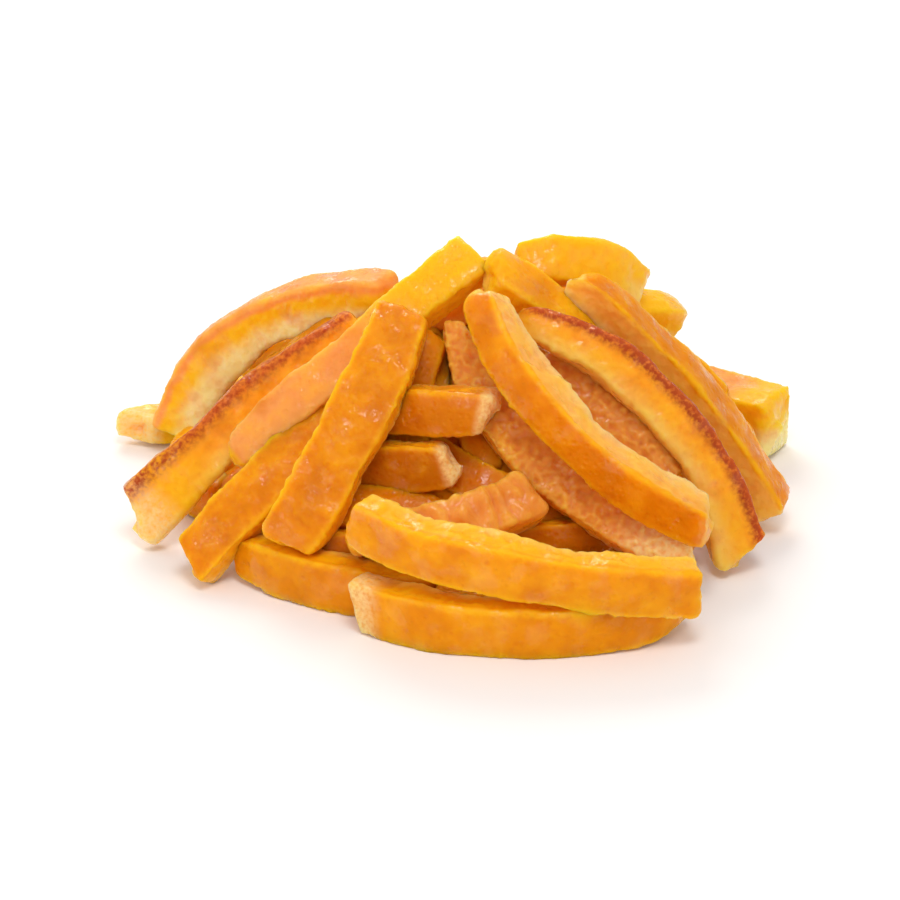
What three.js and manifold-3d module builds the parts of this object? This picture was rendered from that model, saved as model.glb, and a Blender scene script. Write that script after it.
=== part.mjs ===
// A heap of candied orange peel strips, as it lies on a table.
// Millimetres, +Z up, +X to the right, +Y to the back. The origin is on the table, under the heap.

import * as THREE from "three";
import { mergeVertices } from "three/addons/utils/BufferGeometryUtils.js";
import Module from "manifold-3d";

const wasm = await Module();
wasm.setup();

// The mound under the strips: half widths, height, and how far it sits behind the origin.
const MOUND_HALF_WIDTH = 54;
const MOUND_HALF_DEPTH = 45;
const MOUND_HEIGHT = 42;
const MOUND_BACK = 12;
const MOUND_SIDES = 24;
const MOUND_RINGS = 7;
const MOUND_SINK = 1;
const MOUND_SLOPE = 1.15;

// How finely each strip is stepped, and how its ends narrow.
const STEPS = 8;
const END_TAPER = 0.72;
const END_LENGTH = 0.06;

// The table cuts off whatever would reach below it.
const TABLE_SIZE = 400;

// Three places closer to one line than this share of their spacing count as straight.
const STRAIGHT = 0.001;
// Vertices nearer than this are one.
const MERGE = 0.0001;

const PEEL_COLOUR = 0xe8861c;

// One strip a row: where its centre line starts, passes and ends, the way its rind faces,
// its width from cut to cut, and its thickness from rind to pith at the start and at the end.
const STRIPS = [
  // honey ones
  [[-19, -38, 5], [12, -47.5, 5], [42, -38, 5], [0, -1, 0], 10, 7, 7],
  [[-42, -17, 5], [-24, -30, 5], [-6, -33, 5], [-0.3, -1, 0], 9.5, 7, 7],
  [[30, 4, 32], [18, 6, 44], [5, 6, 53], [0.5, -0.4, 0.8], 10, 7, 7],
  // amber ones
  [[43, -45, 11.5], [11, -48, 16.5], [-20, -35, 21], [0, -1, -0.1], 10, 6, 7],
  [[-51, -20, 3.5], [-39, -14.5, 15.5], [-23, -4, 28], [-0.3, -0.7, 0.6], 10, 7, 7],
  [[-33, -26, 11], [-21, -17, 30], [-11, 2, 46], [-0.1, -0.8, 0.6], 12, 7, 7],
  [[-12, -27, 5], [8, -34, 5], [32, -27, 5], [0, -1, 0], 9.5, 7, 7],
  [[-40, -12, 6], [-24, -17, 13], [-5, -20, 12], [0, -0.6, 0.8], 9, 7, 7],
  [[-20, -5, 29], [-6, -11, 32], [6, -15, 33], [0, -1, 0.2], 9, 7, 7],
  [[-9, -1, 29], [-8, 2, 35], [-6, 6, 40], [0, -0.8, 0.5], 8, 7, 7],
  [[15, -8, 20], [30, -14, 12], [44, -15, 5], [0, -0.8, 0.6], 9, 7, 7],
  [[-8, -6, 21], [3, -14, 18], [20, -16, 10], [0, -0.8, 0.6], 9, 7, 7],
  // milky ones
  [[46, -29, 17], [20, -21, 32], [4, -3, 53], [-0.3, -0.9, 0], 8, 9, 7],
  [[61, 3, 4], [43, 8, 29], [21, 9, 50], [0.7, -0.2, 0.7], 9, 9, 8],
  // shorter amber ones
  [[-4, -38, 5], [15, -41, 5], [36, -33, 5], [0, -1, 0], 9.5, 8, 7],
  [[-25, -10, 19], [-11, -15, 22], [-1, -18, 24], [0, -1, 0.2], 9, 7, 7],
  [[0, -21, 6], [13, -22, 9], [28, -17, 8], [0, -1, 0.2], 9, 7, 7],
  [[-35, -20, 6], [-24, -23.5, 8], [-11, -26, 9], [0, -1, 0.3], 9, 6, 6],
  // browned ones
  [[-21, -30, 14], [-3, -29, 16], [13, -22, 18], [0, -0.7, 0.7], 9, 6, 8],
  [[43, -29, 10], [15, -15, 23], [-2, 4, 43], [0, -0.8, 0.6], 10, 7, 7],
  [[40, -12, 16], [28, -5, 27], [17, 3, 37], [0, -0.8, 0.6], 9, 7, 7],
  // toasted ones
  [[-63, -4.5, 5.5], [-44, 1, 23], [-20, 9, 41], [-0.6, 0.3, 0.8], 7, 12, 8],
  [[53, -16, 4], [40, -8, 29], [11, -1, 46], [0.7, 0.35, 0.6], 7, 11, 7],
  // pale ones
  [[-44, -7, 19], [-21, 1, 37], [3, 12, 54], [0, -0.6, 0.8], 9, 7, 7],
  [[-59, 38, 4], [-45, 35, 27], [-14, 24, 39], [-0.65, 0.2, 0.8], 8, 11, 11],
  [[-69, 41, 4], [-58, 45, 4], [-30, 47, 4], [0, 0, 1], 9, 6, 7],
  [[11, 18, 49], [25, 20, 49], [34, 26, 41], [0.3, 0.6, 0.8], 8, 9, 9],
  [[22, 24, 36], [33, 27, 35], [43, 33, 31], [0, -0.3, 1], 9, 8, 8],
  [[37, 52, 7], [53, 46, 7], [66, 36, 7], [0, 0, 1], 14, 12, 12],
  // both sides and the top
  [[-46, 4, 5], [-55, 16, 5], [-52, 31, 5], [-1, 0, 0], 10, 7, 7],
  [[-54, 20, 8], [-41, 22, 20], [-24, 24, 34], [-0.6, 0, 0.8], 9, 7, 7],
  [[55, 10, 5], [56, 22, 5], [49, 34, 5], [1, 0, 0], 9, 7, 7],
  [[57, 20, 9], [45, 21, 22], [28, 18, 38], [0.6, 0, 0.8], 9, 7, 7],
  [[-28, 20, 29], [-12, 19, 37], [6, 18, 42], [0, 0.3, 1], 9, 7, 7],
  [[-8, 28, 35], [8, 26, 37], [24, 20, 36], [0, 0, 1], 8, 7, 7],
  [[53, 36, 12], [31, 45, 26], [2, 36, 41], [0.2, 0.6, 0.8], 9, 8, 7],
  // back
  [[-34, 54, 5], [-26, 41, 21], [-11, 26, 37], [-0.2, 0.7, 0.7], 10, 8, 7],
  [[-12, 58, 5], [-7, 45, 23], [1, 32, 36], [0, 0.7, 0.7], 9, 7, 7],
  [[13, 58, 5], [13, 45, 23], [11, 32, 36], [0, 0.7, 0.7], 10, 8, 7],
  [[37, 54, 10], [31, 43, 24], [24, 32, 33], [0.3, 0.7, 0.7], 10, 7, 8],
  [[-52, 51, 5], [-28, 60, 5], [-3, 62, 5], [0, 1, 0], 10, 7, 7],
  [[45, 59, 5], [26, 65, 5], [3, 64, 6], [0, 1, 0], 9, 7, 7],
  [[-46, 44, 17], [-18, 49, 26], [11, 41, 32], [0, 0.6, 0.8], 9, 7, 7],
  [[-26, 52, 5], [-2, 50, 6], [22, 52, 5], [0, 0, 1], 9, 7, 7],
];

// Points along the circle through three places, or along a straight line where they lie on one.
function arcThrough(start, middle, end, steps) {
  const chord = end.clone().sub(start);
  const side = middle.clone().sub(start);
  const normal = chord.clone().cross(side);
  if (normal.length() < STRAIGHT * chord.lengthSq()) {
    return Array.from({ length: steps + 1 }, (_, i) => start.clone().lerp(end, i / steps));
  }
  const toCentre = normal.clone().cross(chord).multiplyScalar(side.lengthSq())
    .add(side.clone().cross(normal).multiplyScalar(chord.lengthSq()))
    .divideScalar(2 * normal.lengthSq());
  const centre = start.clone().add(toCentre);
  const from = start.clone().sub(centre);
  const to = end.clone().sub(centre);
  const axis = side.clone().cross(end.clone().sub(middle)).normalize();
  let sweep = Math.atan2(axis.dot(from.clone().cross(to)), from.dot(to));
  if (sweep < 0) sweep += 2 * Math.PI;
  return Array.from({ length: steps + 1 },
    (_, i) => from.clone().applyAxisAngle(axis, sweep * i / steps).add(centre));
}

// The outline across a strip, half a unit out from its middle each way:
// flat pith below, crowned rind above.
const SECTION = [[-0.5, -0.5], [0.5, -0.5], [0.5, 0.25], [0.25, 0.5], [-0.25, 0.5], [-0.5, 0.25]];

// One strip as a closed sweep of its section along the arc, narrower at both ends.
function stripGeometry([start, middle, end, faces, width, startThickness, endThickness]) {
  const line = arcThrough(new THREE.Vector3(...start), new THREE.Vector3(...middle),
    new THREE.Vector3(...end), STEPS);
  const rind = new THREE.Vector3(...faces);
  const length = line[0].distanceTo(line[STEPS]);
  const positions = [];
  const ring = (i, slide, scale) => {
    const along = line[Math.min(i + 1, STEPS)].clone().sub(line[Math.max(i - 1, 0)]).normalize();
    const up = rind.clone().addScaledVector(along, -rind.dot(along)).normalize();
    const across = along.clone().cross(up);
    const thickness = THREE.MathUtils.lerp(startThickness, endThickness, i / STEPS);
    const centre = line[i].clone().addScaledVector(along, slide);
    for (const [a, b] of SECTION) {
      const point = centre.clone()
        .addScaledVector(across, a * width * scale)
        .addScaledVector(up, b * thickness * scale);
      positions.push(point.x, point.y, point.z);
    }
  };
  const tip = END_LENGTH * length;
  ring(0, 0, END_TAPER);
  ring(0, tip, 1);
  for (let i = 1; i < STEPS; i++) ring(i, 0, 1);
  ring(STEPS, -tip, 1);
  ring(STEPS, 0, END_TAPER);
  return closedSweep(positions, SECTION.length);
}

// Rings of equal size joined one to the next, with a flat fan over each end.
function closedSweep(positions, sides) {
  const rings = positions.length / 3 / sides;
  const indices = [];
  for (let r = 0; r + 1 < rings; r++) {
    for (let s = 0; s < sides; s++) {
      const a = r * sides + s;
      const b = r * sides + (s + 1) % sides;
      indices.push(a, b + sides, b, a, a + sides, b + sides);
    }
  }
  const last = (rings - 1) * sides;
  for (let s = 1; s + 1 < sides; s++) {
    indices.push(0, s, s + 1);
    indices.push(last, last + s + 1, last + s);
  }
  const geometry = new THREE.BufferGeometry();
  geometry.setAttribute("position", new THREE.Float32BufferAttribute(positions, 3));
  geometry.setIndex(indices);
  return geometry;
}

// The packed middle of the heap: a low dome with a flat underside.
function moundGeometry() {
  const profile = [new THREE.Vector2(0, -MOUND_SINK), new THREE.Vector2(1, -MOUND_SINK)];
  for (let i = 1; i < MOUND_RINGS; i++) {
    const out = 1 - i / MOUND_RINGS;
    profile.push(new THREE.Vector2(out, MOUND_HEIGHT * (1 - out ** MOUND_SLOPE)));
  }
  profile.push(new THREE.Vector2(0, MOUND_HEIGHT));
  const dome = new THREE.LatheGeometry(profile, MOUND_SIDES);
  dome.rotateX(Math.PI / 2);
  dome.scale(MOUND_HALF_WIDTH, MOUND_HALF_DEPTH, 1);
  dome.translate(0, MOUND_BACK, 0);
  return dome;
}

function solidOf(geometry) {
  const bare = geometry.clone();
  bare.deleteAttribute("normal");
  bare.deleteAttribute("uv");
  const merged = mergeVertices(bare, MERGE);
  return new wasm.Manifold(new wasm.Mesh({
    numProp: 3,
    vertProperties: merged.attributes.position.array,
    triVerts: new Uint32Array(merged.index.array),
  }));
}

function geometryOf(solid) {
  const mesh = solid.getMesh();
  const geometry = new THREE.BufferGeometry();
  geometry.setAttribute("position", new THREE.BufferAttribute(mesh.vertProperties, 3));
  geometry.setIndex(new THREE.BufferAttribute(mesh.triVerts, 1));
  return geometry;
}

let heap = solidOf(moundGeometry());
for (const strip of STRIPS) heap = heap.add(solidOf(stripGeometry(strip)));
const table = new THREE.BoxGeometry(TABLE_SIZE, TABLE_SIZE, TABLE_SIZE).translate(0, 0, -TABLE_SIZE / 2);
heap = heap.subtract(solidOf(table));

// The outer skin is the largest piece; a pocket sealed between strips is filled by leaving its wall out.
const skin = heap.decompose().reduce((most, piece) => (piece.volume() > most.volume() ? piece : most));

const peel = new THREE.MeshStandardMaterial({ color: PEEL_COLOUR, roughness: 0.35, metalness: 0 });
const heapMesh = new THREE.Mesh(geometryOf(skin), peel);
heapMesh.name = "peel_heap";

const part = new THREE.Group();
part.add(heapMesh);
export default part;
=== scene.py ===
import math

import bpy
import numpy as np
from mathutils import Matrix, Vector, noise


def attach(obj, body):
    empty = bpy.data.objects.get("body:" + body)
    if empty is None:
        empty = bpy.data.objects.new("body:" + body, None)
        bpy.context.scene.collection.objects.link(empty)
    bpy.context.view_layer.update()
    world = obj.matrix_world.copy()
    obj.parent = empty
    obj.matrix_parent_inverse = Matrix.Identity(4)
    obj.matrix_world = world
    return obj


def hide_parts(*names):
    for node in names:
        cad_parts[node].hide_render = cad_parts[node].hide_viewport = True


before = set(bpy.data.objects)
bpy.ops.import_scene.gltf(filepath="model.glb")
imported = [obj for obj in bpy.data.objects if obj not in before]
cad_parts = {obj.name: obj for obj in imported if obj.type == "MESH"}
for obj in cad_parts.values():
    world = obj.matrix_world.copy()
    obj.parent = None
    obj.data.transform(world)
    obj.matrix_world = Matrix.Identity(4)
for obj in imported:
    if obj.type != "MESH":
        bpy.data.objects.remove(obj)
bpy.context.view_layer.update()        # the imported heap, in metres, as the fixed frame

mm = 0.001


def toLinear(hexColour):
    # sRGB hex to the linear colour that a shader takes
    channels = [int(hexColour[i:i + 2], 16) / 255 for i in (1, 3, 5)]
    return (*(c / 12.92 if c <= 0.04045 else ((c + 0.055) / 1.055) ** 2.4 for c in channels), 1.0)


def addNode(tree, kind, settings=None, links=None):
    # a node with its settings, by property name or by input socket, and the sockets that feed it
    node = tree.nodes.new(kind)
    for name, value in (settings or {}).items():
        if isinstance(name, str) and hasattr(node, name):
            setattr(node, name, value)
        else:
            node.inputs[name].default_value = value
    for name, socket in (links or {}).items():
        tree.links.new(socket, node.inputs[name])
    return node


# what the material reads at each vertex of the peel
materialFields = ("depth", "rim", "tone", "toast", "pale", "yellow")


def peelLayers(tree, look, place, depth, rim):
    # colour from the rind through the gel under it to the pith, and where the rind is
    # cloudy patches where more or less syrup soaked in
    cloud = addNode(tree, "ShaderNodeTexNoise", {"Scale": 1 / (look["cloudSize"] * mm), "Detail": 3.0},
                    {"Vector": place}).outputs["Fac"]
    wander = addNode(tree, "ShaderNodeMath", {"operation": "MULTIPLY_ADD", 1: look["wander"],
                                              2: -0.5 * look["wander"]}, {0: cloud}).outputs[0]
    into = addNode(tree, "ShaderNodeMath", {"operation": "ADD"}, {0: depth, 1: wander}).outputs[0]

    underRind = addNode(tree, "ShaderNodeMapRange", {"interpolation_type": "SMOOTHSTEP",
                        "From Min": look["rindDepth"][0], "From Max": look["rindDepth"][1]},
                        {"Value": into}).outputs["Result"]
    inPith = addNode(tree, "ShaderNodeMapRange", {"interpolation_type": "SMOOTHSTEP",
                     "From Min": look["pithDepth"][0], "From Max": look["pithDepth"][1]},
                     {"Value": into}).outputs["Result"]
    rindAndFlesh = addNode(tree, "ShaderNodeMix", {"data_type": "RGBA", 6: toLinear(look["rind"]),
                           7: toLinear(look["flesh"])}, {0: underRind}).outputs[2]
    onRind = addNode(tree, "ShaderNodeMapRange", {"From Min": 0.02, "From Max": 0.12, "To Min": 1.0,
                     "To Max": 0.0}, {"Value": depth}).outputs["Result"]
    # painted glow: the thin edges of the rind are mixed toward the clear yellow, standing in for light that
    # comes through them
    edgeGlowMask = addNode(tree, "ShaderNodeMath", {"operation": "MULTIPLY"}, {0: rim, 1: onRind}).outputs[0]
    paintedGlow = addNode(tree, "ShaderNodeMath", {"operation": "MULTIPLY", 1: look["paintedEdgeGlow"]},
                   {0: edgeGlowMask}).outputs[0]
    lit = addNode(tree, "ShaderNodeMix", {"data_type": "RGBA", 7: toLinear(look["clear"])},
                  {0: paintedGlow, 6: rindAndFlesh}).outputs[2]
    layered = addNode(tree, "ShaderNodeMix", {"data_type": "RGBA", 7: toLinear(look["pith"])},
                      {0: inPith, 6: lit}).outputs[2]

    return layered, cloud, onRind


def shadeAndGlowColour(tree, look, layered, cloud, tone, yellow):
    # darker in some patches, soaked at random, and painted shade on strips lying in shadow; cleared to yellow
    # gel in other patches, and painted yellow glow of light through the gel at some ends
    strong = addNode(tree, "ShaderNodeMath", {"operation": "MULTIPLY_ADD", 1: look["cloudTone"],
                                              2: -0.5 * look["cloudTone"]}, {0: cloud}).outputs[0]
    shade = addNode(tree, "ShaderNodeMath", {"operation": "SUBTRACT"}, {0: strong, 1: tone}).outputs[0]
    darker = addNode(tree, "ShaderNodeMath", {"operation": "MAXIMUM", 1: 0.0, "use_clamp": True},
                     {0: shade}).outputs[0]
    # painted shade: a low tone, given to strips lying in shadow inside the heap, mixes toward the deep orange
    soakedAndShaded = addNode(tree, "ShaderNodeMix", {"data_type": "RGBA", 7: toLinear(look["deepAndShade"])},
                     {0: darker, 6: layered}).outputs[2]
    lighter = addNode(tree, "ShaderNodeMath", {"operation": "MULTIPLY", 1: -0.8, "use_clamp": True},
                      {0: shade}).outputs[0]
    gelAndGlow = addNode(tree, "ShaderNodeMath", {"operation": "MAXIMUM"}, {0: lighter, 1: yellow}).outputs[0]
    clearedAndGlow = addNode(tree, "ShaderNodeMix", {"data_type": "RGBA", 7: toLinear(look["clear"])},
                      {0: gelAndGlow, 6: soakedAndShaded}).outputs[2]
    return clearedAndGlow


def markedPeelColour(tree, look, clearedAndGlow, place, fleck, onRind, pale, toast):
    # oil glands as small dark dots on the rind, dried pale ends and toasted rind
    glands = addNode(tree, "ShaderNodeTexVoronoi", {"Scale": 1 / (look["glandSize"] * mm)},
                     {"Vector": place}).outputs["Distance"]
    pits = addNode(tree, "ShaderNodeMapRange", {"From Min": 0.12, "From Max": 0.38, "To Min": 1.0,
                   "To Max": 0.0}, {"Value": glands}).outputs["Result"]
    dots = addNode(tree, "ShaderNodeMath", {"operation": "MULTIPLY"}, {0: pits, 1: onRind}).outputs[0]
    dark = addNode(tree, "ShaderNodeMapRange", {"From Min": 0.38, "From Max": 0.25, "To Min": 0.0,
                   "To Max": 0.6}, {"Value": fleck}).outputs["Result"]
    specks = addNode(tree, "ShaderNodeMath", {"operation": "MULTIPLY_ADD", "use_clamp": True,
                     1: look["dots"]}, {0: dots, 2: dark}).outputs[0]
    speckled = addNode(tree, "ShaderNodeMath", {"operation": "MULTIPLY", 1: look["speck"]},
                       {0: specks}).outputs[0]
    dotted = addNode(tree, "ShaderNodeMix", {"data_type": "RGBA", 7: toLinear(look["deepAndShade"])},
                     {0: speckled, 6: clearedAndGlow}).outputs[2]

    patchy = addNode(tree, "ShaderNodeMapRange", {"From Min": 0.3, "From Max": 0.6, "To Min": 0.35,
                     "To Max": 1.0}, {"Value": fleck}).outputs["Result"]
    drier = addNode(tree, "ShaderNodeMath", {"operation": "MULTIPLY", "use_clamp": True},
                    {0: pale, 1: patchy}).outputs[0]
    dried = addNode(tree, "ShaderNodeMix", {"data_type": "RGBA", 7: toLinear(look["dry"])},
                    {0: drier, 6: dotted}).outputs[2]
    burn = addNode(tree, "ShaderNodeMapRange", {"From Min": 0.30, "From Max": 0.65, "To Min": 0.45,
                   "To Max": 1.35}, {"Value": fleck}).outputs["Result"]
    burnt = addNode(tree, "ShaderNodeMath", {"operation": "MULTIPLY", "use_clamp": True},
                    {0: toast, 1: burn}).outputs[0]
    colour = addNode(tree, "ShaderNodeMix", {"data_type": "RGBA", 7: toLinear(look["toasted"])},
                    {0: burnt, 6: dried}).outputs[2]

    return colour, dots


# Candied peel: rind, gel-like flesh and pith boiled in syrup and half dried.
# To the eye it is a soft translucent gel that glows where it is thin, under a thin tacky gloss.
def candiedPeel(name, look):
    material = bpy.data.materials.new(name)
    material.use_nodes = True
    tree = material.node_tree
    tree.nodes.clear()

    place = addNode(tree, "ShaderNodeTexCoord").outputs["Object"]
    depth, rim, tone, toast, pale, yellow = (
        addNode(tree, "ShaderNodeAttribute", {"attribute_name": field}).outputs["Fac"]
        for field in materialFields)
    fleck = addNode(tree, "ShaderNodeTexNoise", {"Scale": 1 / (look["fleckSize"] * mm), "Detail": 2.0},
                    {"Vector": place}).outputs["Fac"]
    layered, cloud, onRind = peelLayers(tree, look, place, depth, rim)
    clearedAndGlow = shadeAndGlowColour(tree, look, layered, cloud, tone, yellow)
    colour, dots = markedPeelColour(tree, look, clearedAndGlow, place, fleck, onRind, pale, toast)

    # fine relief, then wet patches of a few mm with a tacky coat of syrup on them
    relief = addNode(tree, "ShaderNodeMath", {"operation": "SUBTRACT"}, {0: fleck, 1: dots}).outputs[0]
    bump = addNode(tree, "ShaderNodeBump", {"Strength": look["bump"], "Distance": 0.3 * mm},
                   {"Height": relief}).outputs["Normal"]
    mottle = addNode(tree, "ShaderNodeTexNoise", {"Scale": 1 / (look["wetSize"] * mm), "Detail": 3.0},
                     {"Vector": place}).outputs["Fac"]
    wet = addNode(tree, "ShaderNodeMapRange", {"From Min": 0.38, "From Max": 0.62,
                  "To Min": look["roughness"][1], "To Max": look["roughness"][0]},
                  {"Value": mottle}).outputs["Result"]

    syrup = addNode(tree, "ShaderNodeMapRange", {"From Min": 0.50, "From Max": 0.62, "To Min": 0.0,
                    "To Max": look["syrup"]}, {"Value": mottle}).outputs["Result"]

    surface = addNode(tree, "ShaderNodeBsdfPrincipled", {
        "IOR": 1.46,
        "Specular IOR Level": 0.12,
        "Subsurface Weight": look["glow"],
        "Subsurface Radius": (1.0, 0.8, 0.4),
        "Subsurface Scale": look["glowReach"] * mm,
        "Coat Roughness": 0.12,
        "Coat IOR": 1.45,
    }, {"Base Color": colour, "Roughness": wet, "Coat Weight": syrup, "Normal": bump,
        "Coat Normal": bump})
    addNode(tree, "ShaderNodeOutputMaterial", {}, {"Surface": surface.outputs["BSDF"]})
    return material


meshLook = {
    "rindCorner": 0.6,      # mm, where the cut faces meet the rind
    "pithCorner": 1.3,      # mm, where they meet the pith
    "crown": 0.35,          # mm that the rind bulges at its middle
    "glandSize": 1.6,       # mm from one oil gland to the next
    "glandDepth": 0.16,     # mm
    "grain": 0.10,          # mm, the rind's own unevenness
    "sway": 0.6,            # mm, slow swells all over
    "dent": 0.30,           # mm, shallow dents of a few mm
    "fibre": 0.26,          # mm, uneven cut faces
    "frayed": 0.4,          # mm, ragged edges between rind and cut
    "swaySize": 9, "dentSize": 3.6, "fibreSize": 1.5, "fineFibreSize": 0.85, "grainSize": 1.1,   # mm across
    "tornSize": 5, "frayedSize": 0.8,                   # mm, a ragged stretch and each tooth in it
    "pebbleSize": 1.7, "finePebbleSize": 0.9,           # mm across
    "creaseLength": 3.2, "creaseWidth": 5,              # mm from crease to crease, and along each
    "driftLength": 17,                                  # mm over which a strip's width and line drift
    "widthDrift": 0.16, "thickDrift": 0.20,             # share of its width and thickness
    "sideDrift": 0.7, "liftDrift": 0.5,                 # mm that its line drifts across and up
    "endReach": 8,                                      # mm of each end that slants and leans
}

plainStrip = {
    "tone": 0.0,            # below nought is darker: a soaked tone on some strips, painted shade on strips lying in shadow inside the heap
    "toast": 0.0,           # how brown the rind has gone
    "pale": (0, 0),         # mm of dry pale end, at the start and at the end
    "yellow": (0, 0),       # mm of end painted clear yellow, a painted glow of light through the gel, at the start and at the end
    "creamy": 0.0,          # how far the pith under a painted glow end stays cream
    "blunt": (3.6, 3.6),    # how square each end is: 2 is round
    "tip": (2.6, 2.6),      # mm over which each end closes
    "slant": (1.5, -1.5),   # mm that each end leans from one cut face to the other
    "lean": (0, 0),         # mm that each end leans from rind to pith
    "pebble": 0.0,          # mm of rough bumps on the rind
    "wrinkle": 0.0,         # mm of creases across the rind
    "taper": (0.85, 0.85),  # share of its width left at each end
    "taperLength": 14,      # mm over which it narrows
}


def strip(start, middle, end, faces, width, thick, **own):
    # start, middle and end of its centre line, the way its rind faces, and its size, all in mm
    return {**plainStrip, "start": start, "middle": middle, "end": end, "faces": faces,
            "width": width, "thick": thick, **own}


def arcThrough(start, middle, end, shares):
    # places on the circle through three points, at these shares of the way
    start, middle, end = (np.array(p, float) for p in (start, middle, end))
    chord, side = end - start, middle - start
    normal = np.cross(chord, side)
    if np.linalg.norm(normal) < 0.001 * (chord @ chord):
        return start + np.outer(shares, chord), np.linalg.norm(chord)
    toCentre = (np.cross(normal, chord) * (side @ side)
                + np.cross(side, normal) * (chord @ chord)) / (2 * normal @ normal)
    centre = start + toCentre
    out, back = start - centre, end - centre
    axis = np.cross(side, end - middle)
    axis /= np.linalg.norm(axis)
    sweep = math.atan2(axis @ np.cross(out, back), out @ back) % (2 * math.pi)
    turn = sweep * shares
    places = centre + np.outer(np.cos(turn), out) + np.outer(np.sin(turn), np.cross(axis, out))
    return places, sweep * np.linalg.norm(out)


def evenly(points, spacing, closed=False):
    # the same outline with its points an even distance apart
    points = np.array(points, float)
    if closed:
        points = np.vstack([points, points[:1]])
    steps = np.linalg.norm(np.diff(points, axis=0), axis=1)
    gone = np.concatenate([[0], np.cumsum(steps)])
    count = max(8, round(gone[-1] / spacing))
    marks = np.linspace(0, gone[-1], count + 1)
    if closed:
        marks = marks[:-1]
    return np.stack([np.interp(marks, gone, points[:, i]) for i in range(points.shape[1])], axis=1)


def sectionOutline(width, thick, spacing):
    # a box with round corners, as places across and up from its middle
    points = []
    corners = [(1, -1, meshLook["pithCorner"], -90), (1, 1, meshLook["rindCorner"], 0),
               (-1, 1, meshLook["rindCorner"], 90), (-1, -1, meshLook["pithCorner"], 180)]
    for sideways, upward, corner, first in corners:
        for i in range(7):
            angle = math.radians(first + 15 * i)
            points.append((sideways * (width / 2 - corner) + corner * math.cos(angle),
                           upward * (thick / 2 - corner) + corner * math.sin(angle)))
    return evenly(points, spacing, closed=True)


def endProfile(tip, blunt, half):
    # how a strip closes: distance from its end, and share of its full section
    turn = np.linspace(0, math.pi / 2, 60)
    return np.stack([tip * (1 - np.cos(turn) ** (2 / blunt)), half * np.sin(turn) ** (2 / blunt)], axis=1)


def smooth(low, high, value):
    share = np.clip((value - low) / (high - low), 0, 1)
    return share * share * (3 - 2 * share)


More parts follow.
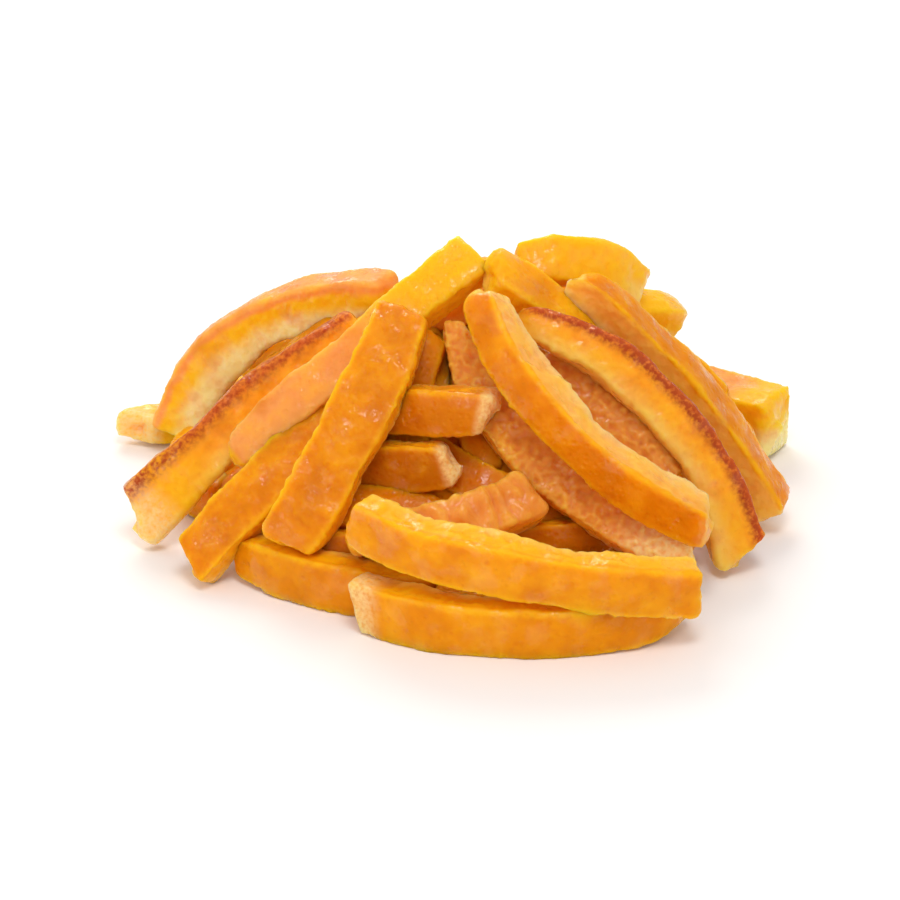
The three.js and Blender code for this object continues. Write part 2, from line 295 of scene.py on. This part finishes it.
def shapeStrip(row, seed, spacing):
    # vertices in mm, faces, and what the material and the relief need to know at each vertex
    width, (thickStart, thickEnd) = row["width"], row["thick"]
    half = (width + min(row["thick"])) / 4
    length = arcThrough(row["start"], row["middle"], row["end"], np.array([0.0, 1.0]))[1]
    first = endProfile(row["tip"][0], row["blunt"][0], half)
    last = endProfile(row["tip"][1], row["blunt"][1], half)[::-1]
    last[:, 0] = length - last[:, 0]
    profile = evenly(np.vstack([first, last]), spacing)
    gone, scale = profile[1:-1, 0], profile[1:-1, 1] / half
    shares = gone / length

    line = arcThrough(row["start"], row["middle"], row["end"], shares)[0]
    ahead = arcThrough(row["start"], row["middle"], row["end"], shares + 0.002)[0] - line
    ahead /= np.linalg.norm(ahead, axis=1)[:, None]
    faces = np.array(row["faces"], float)
    up = faces - (ahead @ faces)[:, None] * ahead
    up /= np.linalg.norm(up, axis=1)[:, None]
    side = np.cross(ahead, up)

    thick = thickStart + (thickEnd - thickStart) * shares
    outline = sectionOutline(width, thickStart, spacing)
    across, rise = outline[:, 0], outline[:, 1] / thickStart
    count, rings = len(outline), len(shares)

    # width and thickness drift along the strip
    drift = np.array([[noise.noise(Vector((g / meshLook["driftLength"], seed * 3.7 + k * 9.1, 0.4)))
                       for k in range(4)] for g in gone])
    narrow = 1 - (1 - row["taper"][0]) * smooth(row["taperLength"], 0, gone)
    narrow *= 1 - (1 - row["taper"][1]) * smooth(row["taperLength"], 0, length - gone)
    wide = (scale * narrow * (1 + meshLook["widthDrift"] * drift[:, 0]))[:, None] * across[None, :]
    high = (scale * thick * (1 + meshLook["thickDrift"] * drift[:, 1]))[:, None] * rise[None, :]
    bulge = (rise > 0) * (1 - (2 * across / width) ** 2)
    high += meshLook["crown"] * scale[:, None] * bulge[None, :]
    nearStart = np.clip(1 - gone / meshLook["endReach"], 0, 1)[:, None]
    nearEnd = np.clip(1 - (length - gone) / meshLook["endReach"], 0, 1)[:, None]
    slide = nearStart * (row["slant"][0] * across / width + row["lean"][0] * rise)[None, :]
    slide = slide + nearEnd * (row["slant"][1] * across / width + row["lean"][1] * rise)[None, :]
    wander = (side * (meshLook["sideDrift"] * drift[:, 2])[:, None]
              + up * (meshLook["liftDrift"] * drift[:, 3])[:, None])
    grid = (line + wander)[:, None, :] + wide[..., None] * side[:, None, :] + high[..., None] * up[:, None, :]
    grid = grid + slide[..., None] * ahead[:, None, :]

    vertices = np.vstack([grid.reshape(-1, 3), grid[0].mean(0), grid[-1].mean(0)])
    ringAt = np.arange(rings - 1)[:, None] * count
    a = ringAt + np.arange(count)[None, :]
    b = ringAt + (np.arange(count)[None, :] + 1) % count
    quads = np.stack([a, b, b + count, a + count], axis=-1).reshape(-1, 4)
    last = (rings - 1) * count
    caps = [(rings * count, (i + 1) % count, i) for i in range(count)]
    caps += [(rings * count + 1, last + i, last + (i + 1) % count) for i in range(count)]

    depth = np.repeat((0.5 - rise)[None, :], rings, axis=0)
    depth = 0.5 + (depth - 0.5) * np.minimum(scale, 1)[:, None]
    edge = smooth(width / 2 - 1.1, width / 2 - 0.3, np.abs(across))
    edge = edge * smooth(0.5 - 1.1 / thickStart, 0.5 - 0.3 / thickStart, np.abs(rise))
    # where the painted edge glow goes, near the cut edges
    rim = smooth(width / 2 - 1.6, width / 2 - 0.2, np.abs(across))
    fromStart = np.repeat(gone[:, None], count, axis=1)
    overPith = 1 - row["creamy"] * smooth(0.1, 0.35, depth)
    fields = {
        "depth": depth, "edge": np.repeat(edge[None, :], rings, axis=0),
        "rim": np.repeat(rim[None, :], rings, axis=0),
        "along": fromStart, "across": np.repeat(across[None, :], rings, axis=0),
        "tone": np.full(depth.shape, row["tone"]),
        "toast": np.full(depth.shape, row["toast"]) * smooth(0.42, 0.06, depth),
        "pale": endFade(fromStart, length, row["pale"]),
        "yellow": endFade(fromStart, length, row["yellow"]) * overPith,
        "pebble": np.full(depth.shape, row["pebble"]),
        "wrinkle": np.full(depth.shape, row["wrinkle"]),
    }
    fields = {name: np.concatenate([field.ravel(), [field[0].mean(), field[-1].mean()]])
              for name, field in fields.items()}
    return vertices, quads, caps, fields


def endFade(gone, length, reach):
    fade = np.zeros(gone.shape)
    if reach[0]:
        fade = np.maximum(fade, smooth(reach[0], 0.4 * reach[0], gone))
    if reach[1]:
        fade = np.maximum(fade, smooth(reach[1], 0.4 * reach[1], length - gone))
    return fade


def bumps(place, size, shift=(0, 0, 0)):
    # smooth bumps this many mm across, between about -1 and 1
    return noise.noise(place / size + Vector(shift))


def relief(place, field, i):
    # how far one vertex moves out or in, in mm
    look = meshLook
    lift = look["sway"] * bumps(place, look["swaySize"])
    lift += look["dent"] * bumps(place, look["dentSize"], (7, 3, 1))
    onRind = max(0.0, 1 - field["depth"][i] / 0.12)
    rough = bumps(place, look["fibreSize"])
    lift += look["fibre"] * (1 - onRind) * (rough + 0.5 * bumps(place, look["fineFibreSize"]))
    torn = max(0.0, bumps(place, look["tornSize"]) + 0.25)
    teeth = rough + bumps(place, look["frayedSize"], (2, 9, 4))
    lift += look["frayed"] * torn * field["edge"][i] * teeth
    if onRind:
        gland = noise.voronoi(place / look["glandSize"])[0][0]
        lift -= onRind * look["glandDepth"] * max(0.0, 1 - 2.2 * gland)
        lift += onRind * look["grain"] * bumps(place, look["grainSize"])
        if field["pebble"][i]:
            pebbles = bumps(place, look["pebbleSize"], (5, 1, 8))
            pebbles += 0.8 * bumps(place, look["finePebbleSize"], (1, 6, 2))
            lift += onRind * field["pebble"][i] * pebbles
        if field["wrinkle"][i]:
            crease = noise.noise(Vector((field["along"][i] / look["creaseLength"],
                                         field["across"][i] / look["creaseWidth"], place.z / 30)))
            lift += onRind * field["wrinkle"][i] * (1 - 4 * abs(crease))
    return lift


def addPiece(name, mesh, fields, material):
    # what the material reads at each vertex, then the piece itself, which rides with the heap
    for key, values in fields.items():
        mesh.attributes.new(key, "FLOAT", "POINT").data.foreach_set("value", values)
    mesh.polygons.foreach_set("use_smooth", [True] * len(mesh.polygons))
    mesh.update()
    piece = bpy.data.objects.new(name, mesh)
    bpy.context.scene.collection.objects.link(piece)
    mesh.materials.append(material)
    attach(piece, "root")
    return piece


def buildPiece(name, look, material):
    # all strips of one kind as one mesh
    print("shaping", name, len(look["strips"]), "strips")
    vertices, polygons, fields, total = [], [], [], 0
    for seed, row in enumerate(look["strips"]):
        points, quads, caps, field = shapeStrip(row, seed + 10 * len(name), look["spacing"])
        vertices.append(points)
        polygons += (quads + total).tolist() + [tuple(v + total for v in cap) for cap in caps]
        fields.append(field)
        total += len(points)
    vertices = np.vstack(vertices)
    field = {key: np.concatenate([f[key] for f in fields]) for key in fields[0]}
    mesh = bpy.data.meshes.new(name)
    mesh.from_pydata((vertices * mm).tolist(), [], polygons)
    mesh.update()
    normals = np.zeros(total * 3, np.float32)
    mesh.vertex_normals.foreach_get("vector", normals)
    lifts = np.array([relief(Vector(point), field, i) for i, point in enumerate(vertices)])
    vertices = vertices + normals.reshape(-1, 3) * lifts[:, None]
    vertices[:, 2] = np.maximum(vertices[:, 2], 0)
    mesh.vertices.foreach_set("co", (vertices * mm).astype(np.float32).ravel())
    addPiece(name, mesh, {key: field[key].astype(np.float32) for key in materialFields}, material)


syrupPeel = {
    "spacing": 0.42,          # mm between the vertices of the mesh
    "rindDepth": (0.06, 0.22),   # share of the thickness over which rind turns to gel
    "pithDepth": (0.45, 0.95),   # and gel to pith
    "cloudSize": 6,              # mm across the soaked and the clear patches
    "cloudTone": 2.2,            # how strongly those differ
    "wander": 0.35,              # how far they push the layers up and down
    "fleckSize": 0.8,            # mm, the finest mottling
    "glandSize": 1.6,            # mm from one oil gland to the next
    "dots": 0.35,                # how much the glands count among the flecks
    "speck": 0.25,               # how dark flecks and glands are
    "paintedEdgeGlow": 0.6,              # painted glow: how yellow the thin edges of the rind are painted, for light coming through them
    "wetSize": 4.5,              # mm across a wet patch
    "roughness": (0.20, 0.45),   # where wet and where dry
    "syrup": 0.7,                # coat of syrup on the wet patches
    "bump": 0.4,
    "glow": 0.9,                 # share of the light that goes through the gel
    "glowReach": 5.0,            # mm that it goes
    # the deep orange serves soaked patches and glands and also painted shade; the clear yellow serves clear
    # gel and also painted glow at thin edges and some ends
    "deepAndShade": "#cc6c04", "clear": "#ffb916", "dry": "#f8cc88", "toasted": "#ac4a1a",
}

# rind evenly orange, soaked through to a clear honey gel
honeyStrips = {
    **syrupPeel,
    "rind": "#ea9204", "flesh": "#fbb20e", "pith": "#fcc65c",
    "strips": [
        strip((-19, -38, 5), (12, -47.5, 5), (42, -38, 5), (0, -1, 0), 10, (7, 7),     # lowest in front
              pale=(7, 0), tip=(2, 12), blunt=(4, 2.4), slant=(2, 0), taper=(0.95, 0.7)),
        # front left, on the table
        strip((-42, -17, 5), (-24, -30, 5), (-6, -33, 5), (-0.3, -1, 0), 9.5, (7, 7),
              tone=-0.15),
        strip((30, 4, 32), (18, 6, 44), (5, 6, 53), (0.5, -0.4, 0.8), 10, (7, 7),      # wet one at the peak
              tone=0.45, taper=(1, 0.9), slant=(0, 2)),
    ],
}

# the commonest: rind and pith both turned amber
amberStrips = {
    **syrupPeel,
    "rind": "#e48a06", "flesh": "#f8ae14", "pith": "#f8be54",
    "strips": [
        # long one in front
        strip((43, -45, 11.5), (11, -48, 16.5), (-20, -35, 21), (0, -1, -0.1), 10, (6, 7),
              tone=0.25, taper=(0.95, 0.9), blunt=(5, 3)),
        # front left leg
        strip((-51, -20, 3.5), (-39, -14.5, 15.5), (-23, -4, 28), (-0.3, -0.7, 0.6), 10, (7, 7),
              pebble=0.25, taper=(1, 0.8), slant=(-3, 0), blunt=(5, 3), tip=(2, 4)),
        # next to it, upright
        strip((-33, -26, 11), (-21, -17, 30), (-11, 2, 46), (-0.1, -0.8, 0.6), 12, (7, 7),
              wrinkle=0.2, taper=(0.95, 0.95), blunt=(3.4, 4), tip=(3, 3)),
        # the low and inner ones below have a negative tone: painted shade
        strip((-12, -27, 5), (8, -34, 5), (32, -27, 5), (0, -1, 0), 9.5, (7, 7), tone=-0.25),
        strip((-40, -12, 6), (-24, -17, 13), (-5, -20, 12), (0, -0.6, 0.8), 9, (7, 7), tone=-0.25),
        # upper cross piece
        strip((-20, -5, 29), (-6, -11, 32), (6, -15, 33), (0, -1, 0.2), 9, (7, 7),
              tone=-0.4, pale=(0, 3), slant=(0, -2)),
        strip((-9, -1, 29), (-8, 2, 35), (-6, 6, 40), (0, -0.8, 0.5), 8, (7, 7), tone=0.1),
        strip((15, -8, 20), (30, -14, 12), (44, -15, 5), (0, -0.8, 0.6), 9, (7, 7), tone=-0.25),
        strip((-8, -6, 21), (3, -14, 18), (20, -16, 10), (0, -0.8, 0.6), 9, (7, 7), tone=-0.25),
    ],
}

# rind clear orange, cut faces milky
milkyStrips = {
    **syrupPeel,
    "rind": "#e68806", "flesh": "#fab64c", "pith": "#fac67c", "rindDepth": (0.05, 0.12),
    "strips": [
        strip((46, -29, 17), (20, -21, 32), (4, -3, 53), (-0.3, -0.9, 0), 8, (9, 7),        # long right leg
              taper=(0.9, 0.85), tip=(3, 4), blunt=(3, 2.6)),
        strip((61, 3, 4), (43, 8, 29), (21, 9, 50), (0.7, -0.2, 0.7), 9, (9, 8),            # far right leg
              taper=(0.95, 0.6), tip=(2, 5), blunt=(4, 2.4)),
    ],
}

# shorter amber ones between them, their rind darker as painted shade of the gaps they lie in
shadedShortStrips = {
    **syrupPeel,
    "rind": "#cc7604", "flesh": "#f0a010", "pith": "#f4b44a",
    "strips": [
        strip((-4, -38, 5), (15, -41, 5), (36, -33, 5), (0, -1, 0), 9.5, (8, 7), tone=-0.2),
        # lower cross piece
        strip((-25, -10, 19), (-11, -15, 22), (-1, -18, 24), (0, -1, 0.2), 9, (7, 7),
              tone=-0.1, pale=(0, 3), slant=(0, 2), blunt=(4, 2.6), tip=(2, 4)),
        strip((0, -21, 6), (13, -22, 9), (28, -17, 8), (0, -1, 0.2), 9, (7, 7), tone=-0.25),
        # low at the left
        strip((-35, -20, 6), (-24, -23.5, 8), (-11, -26, 9), (0, -1, 0.3), 9, (6, 6), tone=-0.3),
    ],
}

# rough rind that browned as it dried
brownedStrips = {
    **syrupPeel,
    "rind": "#f0a044", "flesh": "#f8b02e", "pith": "#fac472", "paintedEdgeGlow": 0.2,
    "strips": [
        # creased, lying across
        strip((-21, -30, 14), (-3, -29, 16), (13, -22, 18), (0, -0.7, 0.7), 9, (6, 8),
              wrinkle=0.6, taper=(0.6, 1.1), slant=(0, 2)),
        # rough, right of the middle
        strip((43, -29, 10), (15, -15, 23), (-2, 4, 43), (0, -0.8, 0.6), 10, (7, 7),
              pebble=0.7, pale=(17, 0), tip=(5, 3), blunt=(2.4, 4), taper=(0.9, 0.45)),
        strip((40, -12, 16), (28, -5, 27), (17, 3, 37), (0, -0.8, 0.6), 9, (7, 7), pebble=0.7),
    ],
}

# thick pieces with the rind's edge toasted dark
toastedStrips = {
    **syrupPeel,
    "rind": "#e6863a", "flesh": "#fcae26", "pith": "#fec45a", "paintedEdgeGlow": 0.0,
    "strips": [
        strip((-63, -4.5, 5.5), (-44, 1, 23), (-20, 9, 41), (-0.6, 0.3, 0.8), 7, (12, 8),       # left leg
              toast=0.75, pale=(9, 0), yellow=(24, 0), slant=(0, 0), lean=(4, 0), taper=(0.8, 0.9)),
        strip((53, -16, 4), (40, -8, 29), (11, -1, 46), (0.7, 0.35, 0.6), 7, (11, 7),       # right leg
              toast=1.0, lean=(4, 0), taper=(0.9, 0.8), tip=(2, 5), blunt=(4, 2.4)),
    ],
}

# pale ones, cut where the pith was thick; the pinkish tan of their rind is partly their own dry colour,
# partly a painted sheen
paleStrips = {
    **syrupPeel,
    "rind": "#f2a052", "flesh": "#ffc41a", "pith": "#ffe498", "paintedEdgeGlow": 0.15, "dots": 0.1,
    "rindDepth": (0.10, 0.24), "pithDepth": (0.34, 0.68),
    "strips": [
        strip((-44, -7, 19), (-21, 1, 37), (3, 12, 54), (0, -0.6, 0.8), 9, (7, 7),     # up to the peak
              yellow=(0, 34), tip=(5, 2), blunt=(2.2, 5), taper=(0.75, 1.1), slant=(0, 0)),
        strip((-59, 38, 4), (-45, 35, 27), (-14, 24, 39), (-0.65, 0.2, 0.8), 8, (11, 11),   # arch at the left
              taper=(0.9, 0.9)),
        # torn end, far left
        strip((-69, 41, 4), (-58, 45, 4), (-30, 47, 4), (0, 0, 1), 9, (6, 7),
              pale=(6, 0), yellow=(30, 0), tip=(4, 2), blunt=(3, 4), slant=(5, 0)),
        # at the top, its clear yellow a painted glow of light through it
        strip((11, 18, 49), (25, 20, 49), (34, 26, 41), (0.3, 0.6, 0.8), 8, (9, 9),
              yellow=(40, 0)),
        strip((22, 24, 36), (33, 27, 35), (43, 33, 31), (0, -0.3, 1), 9, (8, 8), yellow=(40, 0)),
        # far right, on the table
        strip((37, 52, 7), (53, 46, 7), (66, 36, 7), (0, 0, 1), 14, (12, 12), slant=(0, 3),
              yellow=(14, 14), creamy=1.0),
    ],
}

# the sides, the top and the back of the heap
sideStrips = {
    **syrupPeel,
    "rind": "#e48a06", "flesh": "#f8ae14", "pith": "#f8be54", "spacing": 0.52,
    "strips": [
        strip((-46, 4, 5), (-55, 16, 5), (-52, 31, 5), (-1, 0, 0), 10, (7, 7)),
        strip((-54, 20, 8), (-41, 22, 20), (-24, 24, 34), (-0.6, 0, 0.8), 9, (7, 7)),
        strip((55, 10, 5), (56, 22, 5), (49, 34, 5), (1, 0, 0), 9, (7, 7)),
        strip((57, 20, 9), (45, 21, 22), (28, 18, 38), (0.6, 0, 0.8), 9, (7, 7)),
        strip((-28, 20, 29), (-12, 19, 37), (6, 18, 42), (0, 0.3, 1), 9, (7, 7)),
        strip((-8, 28, 35), (8, 26, 37), (24, 20, 36), (0, 0, 1), 8, (7, 7)),
        strip((53, 36, 12), (31, 45, 26), (2, 36, 41), (0.2, 0.6, 0.8), 9, (8, 7)),
    ],
}

backStrips = {
    **syrupPeel,
    "rind": "#ea9204", "flesh": "#fbb20e", "pith": "#fcc65c", "spacing": 0.52,
    "strips": [
        strip((-34, 54, 5), (-26, 41, 21), (-11, 26, 37), (-0.2, 0.7, 0.7), 10, (8, 7)),
        strip((-12, 58, 5), (-7, 45, 23), (1, 32, 36), (0, 0.7, 0.7), 9, (7, 7), pebble=0.3, tone=-0.3),
        strip((13, 58, 5), (13, 45, 23), (11, 32, 36), (0, 0.7, 0.7), 10, (8, 7)),
        strip((37, 54, 10), (31, 43, 24), (24, 32, 33), (0.3, 0.7, 0.7), 10, (7, 8), wrinkle=0.25),
        strip((-52, 51, 5), (-28, 60, 5), (-3, 62, 5), (0, 1, 0), 10, (7, 7)),
        strip((45, 59, 5), (26, 65, 5), (3, 64, 6), (0, 1, 0), 9, (7, 7), tone=0.2),
        strip((-46, 44, 17), (-18, 49, 26), (11, 41, 32), (0, 0.6, 0.8), 9, (7, 7), tone=0.2),
        strip((-26, 52, 5), (-2, 50, 6), (22, 52, 5), (0, 0, 1), 9, (7, 7)),
    ],
}

pieces = {
    "honey_strips": (honeyStrips, "honeyPeel"),
    "amber_strips": (amberStrips, "amberPeel"),
    "milky_strips": (milkyStrips, "milkyPeel"),
    "short_strips": (shadedShortStrips, "shadedAmberShortPeel"),
    "browned_strips": (brownedStrips, "brownedPeel"),
    "toasted_strips": (toastedStrips, "toastedPeel"),
    "pale_strips": (paleStrips, "palePeel"),
    "side_strips": (sideStrips, "sidePeel"),
    "back_strips": (backStrips, "backPeel"),
}
for name, (look, finish) in pieces.items():
    buildPiece(name, look, candiedPeel(finish, look))


# Under the strips: more of the same, pressed together, seen only between them. Its redder orange and low tone
# are painted shade, the colour of the shaded gaps between the strips.
coreLook = {
    **syrupPeel,
    "rind": "#f87e0c", "flesh": "#fa860e", "pith": "#fa8a12", "roughness": (0.3, 0.5), "glow": 1.0,
    "halfWidth": 50, "halfDepth": 41, "height": 38, "back": 12, "slope": 1.15,
    "lump": 2.2, "lumpSize": 12, "crumb": 0.5, "crumbSize": 3,    # mm high and mm across
    "tone": -0.3, "rings": 46, "sides": 150,
}


def packedMiddle(look):
    vertices, polygons = [(0, look["back"], look["height"])], []
    rings, sides = look["rings"], look["sides"]
    for r in range(1, rings + 1):
        out = r / rings
        for s in range(sides):
            angle = 2 * math.pi * s / sides
            vertices.append((look["halfWidth"] * out * math.cos(angle),
                             look["back"] + look["halfDepth"] * out * math.sin(angle),
                             look["height"] * (1 - out ** look["slope"])))
    vertices.append((0, look["back"], 0))
    polygons += [(0, 1 + s, 1 + (s + 1) % sides) for s in range(sides)]
    for r in range(rings - 1):
        a = 1 + r * sides
        polygons += [(a + s, a + sides + s, a + sides + (s + 1) % sides, a + (s + 1) % sides)
                     for s in range(sides)]
    rim = 1 + (rings - 1) * sides
    polygons += [(rim + s, len(vertices) - 1, rim + (s + 1) % sides) for s in range(sides)]
    mesh = bpy.data.meshes.new("packed_middle")
    mesh.from_pydata([Vector(v) * mm for v in vertices], [], polygons)
    mesh.update()
    for vertex in mesh.vertices:
        place = vertex.co / mm
        if place.z > 0:
            lift = look["lump"] * bumps(place, look["lumpSize"])
            lift += look["crumb"] * bumps(place, look["crumbSize"])
            vertex.co += vertex.normal * lift * mm
            vertex.co.z = max(vertex.co.z, 0)
    fields = {key: [look["tone"] if key == "tone" else 0.0] * len(vertices) for key in materialFields}
    piece = addPiece("packed_middle", mesh, fields, candiedPeel("gapShadePeel", look))
    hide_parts("peel_heap")


# Half sunk in the middle, leaning up it all round, so that every gap shows more strips.
tuckedLook = {
    **syrupPeel,
    "rind": "#f28c0c", "flesh": "#f8a012", "pith": "#fab03c", "spacing": 0.7,
    "lower": 19, "upper": 11,     # how many in the ring at the foot and in the ring above it
    "lowerReach": (0.98, 0.5), "upperReach": (0.62, 0.08),   # foot and head, as shares of the way out
    "wide": 9, "thick": 6.5,      # mm
}


def onMiddle(turn, out, lift):
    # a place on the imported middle's surface, this share of the way out from its top
    look = coreLook
    return (look["halfWidth"] * out * math.cos(turn),
            look["back"] + look["halfDepth"] * out * math.sin(turn),
            look["height"] * (1 - out ** look["slope"]) + lift)


def tuckedStrips(look):
    rows = []
    circles = ((look["lower"], look["lowerReach"]), (look["upper"], look["upperReach"]))
    for ring, (count, (foot, head)) in enumerate(circles):
        for i in range(count):
            chance = [noise.noise(Vector((i * 5.3, ring * 7.7, k * 3.1))) for k in range(4)]
            turn = 2 * math.pi * (i + 0.5 * ring) / count
            lean = 0.5 * chance[0]
            rows.append(strip(onMiddle(turn - lean, foot, 3 - ring), onMiddle(turn, (foot + head) / 2, 0.5),
                              onMiddle(turn + lean, head, -0.5),
                              (math.cos(turn), math.sin(turn), 1.1), look["wide"] + 1.5 * chance[1],
                              (look["thick"], look["thick"]), tone=0.7 * chance[2], pebble=max(0, chance[3])))
    return rows


packedMiddle(coreLook)
tuckedLook["strips"] = tuckedStrips(tuckedLook)
buildPiece("tucked_strips", tuckedLook, candiedPeel("tuckedPeel", tuckedLook))
print("packed middle done")


cameraLook = {
    "elevation": 25,          # degrees above the table
    "distance": 600,          # mm from the point that it looks at
    "aim": (-2.3, 0, 18.3),   # mm
    "sensor": 36,
    "lens": 123.1,
}

tableLook = {"size": 8, "colour": "#fbfaf9", "roughness": 0.7}

lightLook = {
    "sky": "#ffffff", "skyStrength": 0.66,
    "softboxes": {
        "backSoftbox": {"place": (-0.15, 0.60, 0.55), "size": 0.5, "power": 2.7, "colour": "#fffaf2"},
        "topSoftbox": {"place": (0.05, -0.32, 0.74), "size": 0.30, "power": 1.9, "colour": "#ffffff"},
        "frontFill": {"place": (-0.45, -0.75, 0.45), "size": 0.4, "power": 1.1, "colour": "#fff6ee"},
    },
}


def placeCamera(look):
    data = bpy.data.cameras.new("camera")
    data.sensor_width, data.lens = look["sensor"], look["lens"]
    data.clip_start, data.clip_end = 0.05, 20
    camera = bpy.data.objects.new("camera", data)
    bpy.context.scene.collection.objects.link(camera)
    tilt = math.radians(look["elevation"])
    back = Vector((0, -math.cos(tilt), math.sin(tilt)))
    camera.location = (Vector(look["aim"]) + back * look["distance"]) * mm
    camera.rotation_euler = (-back).to_track_quat("-Z", "Y").to_euler()
    bpy.context.scene.camera = camera


# White-painted board, matt: it takes the soft shadow and a little of the peel's colour.
def paintedBoard(look):
    material = bpy.data.materials.new("paintedBoard")
    material.use_nodes = True
    tree = material.node_tree
    tree.nodes.clear()
    place = addNode(tree, "ShaderNodeTexCoord").outputs["Object"]
    grain = addNode(tree, "ShaderNodeTexNoise", {"Scale": 1 / (2 * mm)}, {"Vector": place}).outputs["Fac"]
    bump = addNode(tree, "ShaderNodeBump", {"Strength": 0.02, "Distance": 0.1 * mm}, {"Height": grain})
    paint = addNode(tree, "ShaderNodeBsdfPrincipled", {
        "Base Color": toLinear(look["colour"]), "Roughness": look["roughness"], "IOR": 1.5,
        "Specular IOR Level": 0.2}, {"Normal": bump.outputs["Normal"]})
    addNode(tree, "ShaderNodeOutputMaterial", {}, {"Surface": paint.outputs["BSDF"]})
    return material


def layTable(look):
    half = look["size"] / 2
    mesh = bpy.data.meshes.new("table")
    corners = [(-half, -half, 0), (half, -half, 0), (half, half, 0), (-half, half, 0)]
    mesh.from_pydata(corners, [], [(0, 1, 2, 3)])
    mesh.materials.append(paintedBoard(look))
    table = bpy.data.objects.new("table", mesh)
    table.location.z = -0.05 * mm
    bpy.context.scene.collection.objects.link(table)


def setLights(look):
    for name, box in look["softboxes"].items():
        data = bpy.data.lights.new(name, "AREA")
        data.shape, data.size = "DISK", box["size"]
        data.energy, data.color = box["power"], toLinear(box["colour"])[:3]
        lamp = bpy.data.objects.new(name, data)
        lamp.location = box["place"]
        lamp.rotation_euler = Vector(box["place"]).to_track_quat("Z", "Y").to_euler()
        bpy.context.scene.collection.objects.link(lamp)
    world = bpy.data.worlds.new("studio")
    world.use_nodes = True
    sky = world.node_tree.nodes["Background"]
    sky.inputs["Color"].default_value = toLinear(look["sky"])
    sky.inputs["Strength"].default_value = look["skyStrength"]
    bpy.context.scene.world = world
    bpy.context.scene.view_settings.view_transform = "Standard"


placeCamera(cameraLook)
layTable(tableLook)
setLights(lightLook)
print("camera, table and lights set")
